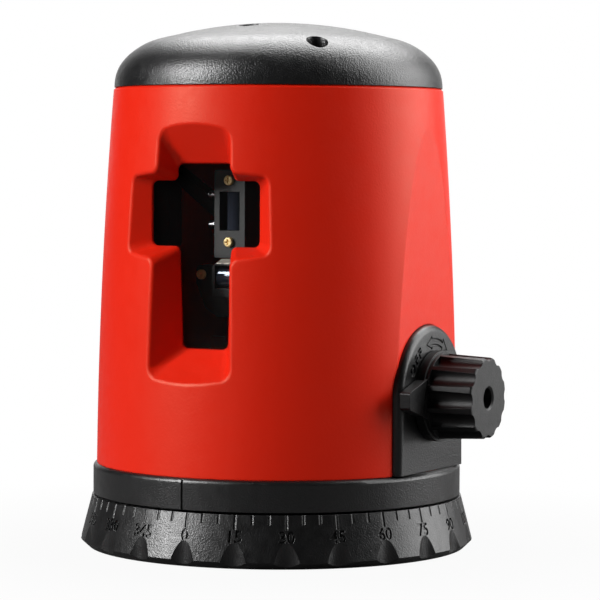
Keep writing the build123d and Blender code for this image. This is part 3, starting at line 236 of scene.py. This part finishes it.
def shape_surface(tree, shader, value, relief, radius):
    """Relief from a noise value, over sharp edges that are rounded to catch the light."""
    edge = tree.nodes.new("ShaderNodeBevel")
    edge.samples = edge_samples
    edge.inputs["Radius"].default_value = radius
    bump = tree.nodes.new("ShaderNodeBump")
    bump.inputs["Distance"].default_value = relief
    tree.links.new(value, bump.inputs["Height"])
    tree.links.new(edge.outputs["Normal"], bump.inputs["Normal"])
    tree.links.new(bump.outputs["Normal"], shader.inputs["Normal"])


def moulded(name, colour, roughness, grain, relief,
            drift=0.05, gloss=0.5, shine=(1.0, 1.0, 1.0), edge=edge_round):
    """Moulded plastic with a fine grain."""
    material, tree, shader = start_material(name)
    shader.inputs["Specular IOR Level"].default_value = gloss
    shader.inputs["Specular Tint"].default_value = (*shine, 1)
    tree.links.new(tinted(tree, noise(tree, patch_scale), colour, drift), shader.inputs["Base Color"])
    patches = noise(tree, grain / patch_grains)
    rough = spread(tree, patches, roughness - plastic_swing, roughness + plastic_swing)
    tree.links.new(rough, shader.inputs["Roughness"])
    shape_surface(tree, shader, noise(tree, grain, grain_detail), relief, edge)
    return material


def metal(name, colour, roughness, stretch=(1.0, 1.0, 1.0), bare=1.0):
    """Metal with fine machining marks."""
    material, tree, shader = start_material(name)
    shader.inputs["Metallic"].default_value = bare
    tree.links.new(tinted(tree, noise(tree, stain_scale), colour, stain_drift), shader.inputs["Base Color"])
    marks = noise(tree, mark_scale, noise_detail, stretch)
    rough = spread(tree, marks, roughness + metal_swing[0], roughness + metal_swing[1])
    tree.links.new(rough, shader.inputs["Roughness"])
    shape_surface(tree, shader, marks, mark_relief, edge_round)
    return material


def clear_pane(name):
    """Clear window pane that lets the light in."""
    material, tree, shader = start_material(name)
    shader.inputs["Base Color"].default_value = (*pane_colour, 1)
    shader.inputs["Alpha"].default_value = pane_alpha
    tree.links.new(spread(tree, noise(tree, pane_smudges), *pane_roughness), shader.inputs["Roughness"])
    return material


def coated_lens(name):
    """Polished rod lens with a bluish coating."""
    material, tree, shader = start_material(name)
    shader.inputs["Base Color"].default_value = (*lens_colour, 1)
    shader.inputs["Specular IOR Level"].default_value = lens_gloss
    shader.inputs["Specular Tint"].default_value = (*lens_shine, 1)
    tree.links.new(spread(tree, noise(tree, lens_smudges), *lens_roughness), shader.inputs["Roughness"])
    return material


def make_materials():
    """Every material, by its name."""
    materials = {name: moulded(name, **look) for name, look in plastics.items()}
    materials.update({name: metal(name, **look) for name, look in metals.items()})
    materials["window_glass"] = clear_pane("window_glass")
    materials["lens_glass"] = coated_lens("lens_glass")
    return materials


def recoat(name, material, picked):
    """A second material on the faces of a node whose normals are picked."""
    mesh = frame["nodes"][name].data
    mesh.materials.append(material)
    for face in mesh.polygons:
        face.material_index = int(picked(face.normal))


def dress(materials):
    """Materials on the CAD nodes."""
    for row in frame["record"]["subparts"]:
        node = frame["nodes"][row["node"]]
        slot = own_materials.get(row["node"], row["material_slot"])
        node.data.materials.clear()
        node.data.materials.append(materials[slot])
    # the lower module's upward faces get a pale metal, lighter than its dark faces: painted light on its
    # top
    recoat("lower_module", materials["painted_lit_top"], lambda normal: normal.z > facing)
    recoat("knob", materials["flute_plastic"], lambda normal: normal.x < facing)


# Objects and meshes

def add_object(name, data):
    """An object in the scene, with its data."""
    made = bpy.data.objects.new(name, data)
    bpy.context.scene.collection.objects.link(made)
    return made


def final_mesh(piece):
    """Mesh of an object as its curve or its modifiers make it."""
    graph = bpy.context.evaluated_depsgraph_get()
    return bpy.data.meshes.new_from_object(piece.evaluated_get(graph))


def curve_mesh(curve):
    """Mesh of a curve or a text."""
    holder = add_object("holder", curve)
    mesh = final_mesh(holder)
    bpy.data.objects.remove(holder)
    return mesh


def laid(mesh, place):
    """A mesh with each of its points laid by a rule."""
    for v in mesh.vertices:
        v.co = place(v.co)
    return mesh


def welded(cad_mesh):
    """Copy of a CAD mesh with its seams closed."""
    mesh = cad_mesh.copy()
    made = bmesh.new()
    made.from_mesh(mesh)
    bmesh.ops.remove_doubles(made, verts=made.verts, dist=weld_distance)
    made.to_mesh(mesh)
    made.free()
    if "custom_normal" in mesh.attributes:
        mesh.attributes.remove(mesh.attributes["custom_normal"])
    return mesh


def joined(meshes):
    """One mesh of several, with their seams closed and their faces turned outwards."""
    made = bmesh.new()
    for mesh in meshes:
        made.from_mesh(mesh)
    bmesh.ops.remove_doubles(made, verts=made.verts, dist=join_distance)
    bmesh.ops.recalc_face_normals(made, faces=made.faces)
    whole = bpy.data.meshes.new("joined")
    made.to_mesh(whole)
    made.free()
    return whole


# Engraving

def words(text, height, bold, spacing=1.0):
    """Mesh of a word, centred, with its foot on the line and its body across the surface."""
    curve = bpy.data.curves.new("word", "FONT")
    curve.body = text
    curve.align_x = "CENTER"
    curve.space_character = spacing
    curve.resolution_u = letter_steps
    curve.offset = bold
    curve.extrude = 1.0
    mesh = curve_mesh(curve)
    top = max(v.co.y for v in mesh.vertices)
    low = min(v.co.y for v in mesh.vertices)
    for v in mesh.vertices:
        v.co.x *= height / (top - low)
        v.co.y = (v.co.y - low) * height / (top - low)
    return mesh


def skirt_radius(z):
    """Radius of the skirt's sloping face at a height."""
    (low_r, low_z), (high_r, high_z) = skirt_low, skirt_high
    return low_r + (high_r - low_r) * (z - low_z) / (high_z - low_z)


def on_skirt(point, angle):
    """A word's point laid on the skirt: across by angle, up the slope, and through the surface."""
    z = label_low + point.y
    radius = skirt_radius(z) + point.z * label_depth
    turn = angle + point.x / skirt_radius(z)
    return Vector((radius * math.sin(turn), -radius * math.cos(turn), z))


def round_knob(radius, turn, x):
    """Place on the side panel, by the distance and the angle from the top about the knob's axis."""
    return Vector((x, radius * math.sin(turn), knob_height + radius * math.cos(turn)))


def on_panel(point, angle, face):
    """A word's point laid round the knob on the panel's face."""
    turn = angle + point.x / legend_radius
    return round_knob(legend_radius + point.y, turn, face + point.z * legend_depth)


def arrow_groove(face):
    """Tube along the outline of a double arrow, half sunk in the panel's face."""
    neck = arrow_half - arrow_head
    upper = [(-arrow_half, 0.0), (-neck, arrow_barb), (-neck, arrow_body)]
    upper += [(-neck + 2 * neck * i / arrow_steps, arrow_body) for i in range(1, arrow_steps)]
    upper += [(neck, arrow_body), (neck, arrow_barb), (arrow_half, 0.0)]
    lower = [(turn, -rise) for turn, rise in reversed(upper[1:-1])]
    outline = upper + lower
    curve = bpy.data.curves.new("arrow", "CURVE")
    curve.dimensions = "3D"
    curve.bevel_depth = groove_radius
    curve.bevel_resolution = groove_steps
    spline = curve.splines.new("POLY")
    spline.points.add(len(outline) - 1)
    for spot, (turn, rise) in zip(spline.points, outline):
        spot.co = (*round_knob(arrow_radius + rise, arrow_middle + turn, face), 1)
    spline.use_cyclic_u = True
    return curve_mesh(curve)


def engraved(name, node, cutters, body):
    """Copy of a CAD node with meshes cut out of it, which stands for the node."""
    piece = add_object(name, welded(node.data))
    tool = add_object("tool", joined(cutters))
    cut = piece.modifiers.new("engrave", "BOOLEAN")
    cut.operation = "DIFFERENCE"
    cut.solver = "EXACT"
    cut.use_self = True
    cut.object = tool
    piece.data = final_mesh(piece)
    piece.modifiers.clear()
    bpy.data.objects.remove(tool)
    piece.data.shade_smooth()
    piece.data.set_sharp_from_angle(angle=smooth_angle)
    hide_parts(node.name)
    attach(piece, body)
    return piece


def engrave_skirt():
    """The scale's numbers, under every long mark."""
    cutters = []
    for degrees in range(0, 360, label_step):
        angle = scale_zero + math.radians(degrees)
        word = words(str(degrees), label_height, label_bold)
        cutters.append(laid(word, lambda point: on_skirt(point, angle)))
    piece = engraved("skirt_engraved", frame["nodes"]["base_skirt"], cutters, "base")


def engrave_panel():
    """OFF and ON round the knob, with a double arrow between them."""
    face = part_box("side_panel")[1].x
    cutters = []
    for text, angle in (("OFF", legend_off), ("ON", legend_on)):
        word = words(text, legend_height, legend_bold, legend_spacing)
        cutters.append(laid(word, lambda point: on_panel(point, angle, face)))
    cutters.append(arrow_groove(face))
    piece = engraved("panel_engraved", frame["nodes"]["side_panel"], cutters, "head")


# Studio

def from_camera(degrees):
    """Level direction from the turning axis, in degrees right of the camera's own."""
    turn = camera_azimuth + math.radians(degrees)
    return Vector((math.sin(turn), -math.cos(turn), 0.0))


def make_camera():
    """Camera at the photograph's angle."""
    data = bpy.data.cameras.new("camera")
    data.lens = camera_lens
    data.sensor_width = camera_sensor
    data.clip_start = near_clip
    camera = add_object("camera", data)
    camera.location = from_camera(0) * camera_distance + Vector((0, 0, camera_height))
    right = from_camera(90)
    ahead = -from_camera(0) + right * math.tan(camera_yaw) - Vector((0, 0, math.tan(camera_pitch)))
    camera.rotation_mode = "QUATERNION"
    roll = Matrix.Rotation(camera_roll, 3, "Z").to_quaternion()
    camera.rotation_quaternion = ahead.to_track_quat("-Z", "Y") @ roll
    bpy.context.scene.camera = camera


def make_lamps():
    """Softboxes and fills round the object."""
    for name, (degrees, height, distance, width, length, watts) in lamps.items():
        data = bpy.data.lights.new(name, "AREA")
        data.shape = "RECTANGLE"
        data.size = width
        data.size_y = length
        data.energy = watts
        lamp = add_object(name, data)
        lamp.location = from_camera(degrees) * distance + Vector((0, 0, height))
        lamp.rotation_mode = "QUATERNION"
        lamp.rotation_quaternion = (lamp_aim - lamp.location).to_track_quat("-Z", "Y")
        lamp.visible_camera = False
        lamp.visible_glossy = name not in fill_lamps


def seen_by(tree, *kinds):
    """One for any of the kinds of ray, otherwise nought."""
    path = tree.nodes.new("ShaderNodeLightPath")
    total = path.outputs[kinds[0]]
    for name in kinds[1:]:
        either = tree.nodes.new("ShaderNodeMath")
        either.operation = "MAXIMUM"
        tree.links.new(total, either.inputs[0])
        tree.links.new(path.outputs[name], either.inputs[1])
        total = either.outputs[0]
    return total


def background(tree, strength):
    """Plain white surroundings of a strength."""
    node = tree.nodes.new("ShaderNodeBackground")
    node.inputs["Color"].default_value = (1, 1, 1, 1)
    node.inputs["Strength"].default_value = strength
    return node


def mixed(tree, share, first, second):
    """Two shaders mixed by a share."""
    mix = tree.nodes.new("ShaderNodeMixShader")
    tree.links.new(share, mix.inputs["Fac"])
    tree.links.new(first, mix.inputs[1])
    tree.links.new(second, mix.inputs[2])
    return mix.outputs["Shader"]


def make_world():
    """White where it is seen, dim where it lights, and dark behind the camera for reflections."""
    world = bpy.data.worlds.new("studio")
    bpy.context.scene.world = world
    world.use_nodes = True
    tree = world.node_tree
    place = tree.nodes.new("ShaderNodeTexCoord")
    ahead = tree.nodes.new("ShaderNodeVectorMath")
    ahead.operation = "DOT_PRODUCT"
    ahead.inputs[1].default_value = -from_camera(0)
    tree.links.new(place.outputs["Generated"], ahead.inputs[0])
    shine = tree.nodes.new("ShaderNodeMapRange")
    shine.interpolation_type = "SMOOTHSTEP"
    shine.inputs["From Min"].default_value = shine_turn[0]
    shine.inputs["From Max"].default_value = shine_turn[1]
    shine.inputs["To Min"].default_value = front_shine
    shine.inputs["To Max"].default_value = backdrop_shine
    tree.links.new(ahead.outputs["Value"], shine.inputs["Value"])
    mirrored = background(tree, backdrop_shine)
    tree.links.new(shine.outputs["Result"], mirrored.inputs["Strength"])
    dim = background(tree, room_light).outputs["Background"]
    white = background(tree, backdrop_white).outputs["Background"]
    lit = mixed(tree, seen_by(tree, "Is Glossy Ray"), dim, mirrored.outputs["Background"])
    seen = mixed(tree, seen_by(tree, "Is Camera Ray", "Is Transmission Ray"), lit, white)
    tree.links.new(seen, tree.nodes["World Output"].inputs["Surface"])


def floor_material():
    """Plain pale floor, white to the camera apart from the shadow near the object."""
    material, tree, shader = start_material("floor")
    shader.inputs["Base Color"].default_value = (floor_tone, floor_tone, floor_tone, 1)
    shader.inputs["Roughness"].default_value = floor_roughness
    place = tree.nodes.new("ShaderNodeTexCoord")
    distance = tree.nodes.new("ShaderNodeVectorMath")
    distance.operation = "LENGTH"
    tree.links.new(place.outputs["Object"], distance.inputs[0])
    fade = tree.nodes.new("ShaderNodeMapRange")
    fade.inputs["From Min"].default_value = floor_fade[0]
    fade.inputs["From Max"].default_value = floor_fade[1]
    fade.inputs["To Min"].default_value = floor_white
    fade.inputs["To Max"].default_value = 1.0
    tree.links.new(distance.outputs["Value"], fade.inputs["Value"])
    glow = tree.nodes.new("ShaderNodeEmission")
    glow.inputs["Strength"].default_value = backdrop_white
    share = tree.nodes.new("ShaderNodeMath")
    share.operation = "MULTIPLY"
    tree.links.new(seen_by(tree, "Is Camera Ray", "Is Transmission Ray"), share.inputs[0])
    tree.links.new(fade.outputs["Result"], share.inputs[1])
    seen = mixed(tree, share.outputs[0], shader.outputs["BSDF"], glow.outputs["Emission"])
    tree.links.new(seen, tree.nodes["Material Output"].inputs["Surface"])
    return material


def make_floor():
    """Floor that keeps a soft shadow."""
    mesh = bpy.data.meshes.new("floor")
    corners = [(x * floor_half, y * floor_half, 0) for x, y in ((-1, -1), (1, -1), (1, 1), (-1, 1))]
    mesh.from_pydata(corners, [], [(0, 1, 2, 3)])
    mesh.materials.append(floor_material())
    floor = add_object("floor", mesh)


bpy.context.scene.view_settings.view_transform = "Standard"
make_camera()
make_lamps()
make_world()
make_floor()
dress(make_materials())
engrave_skirt()
engrave_panel()
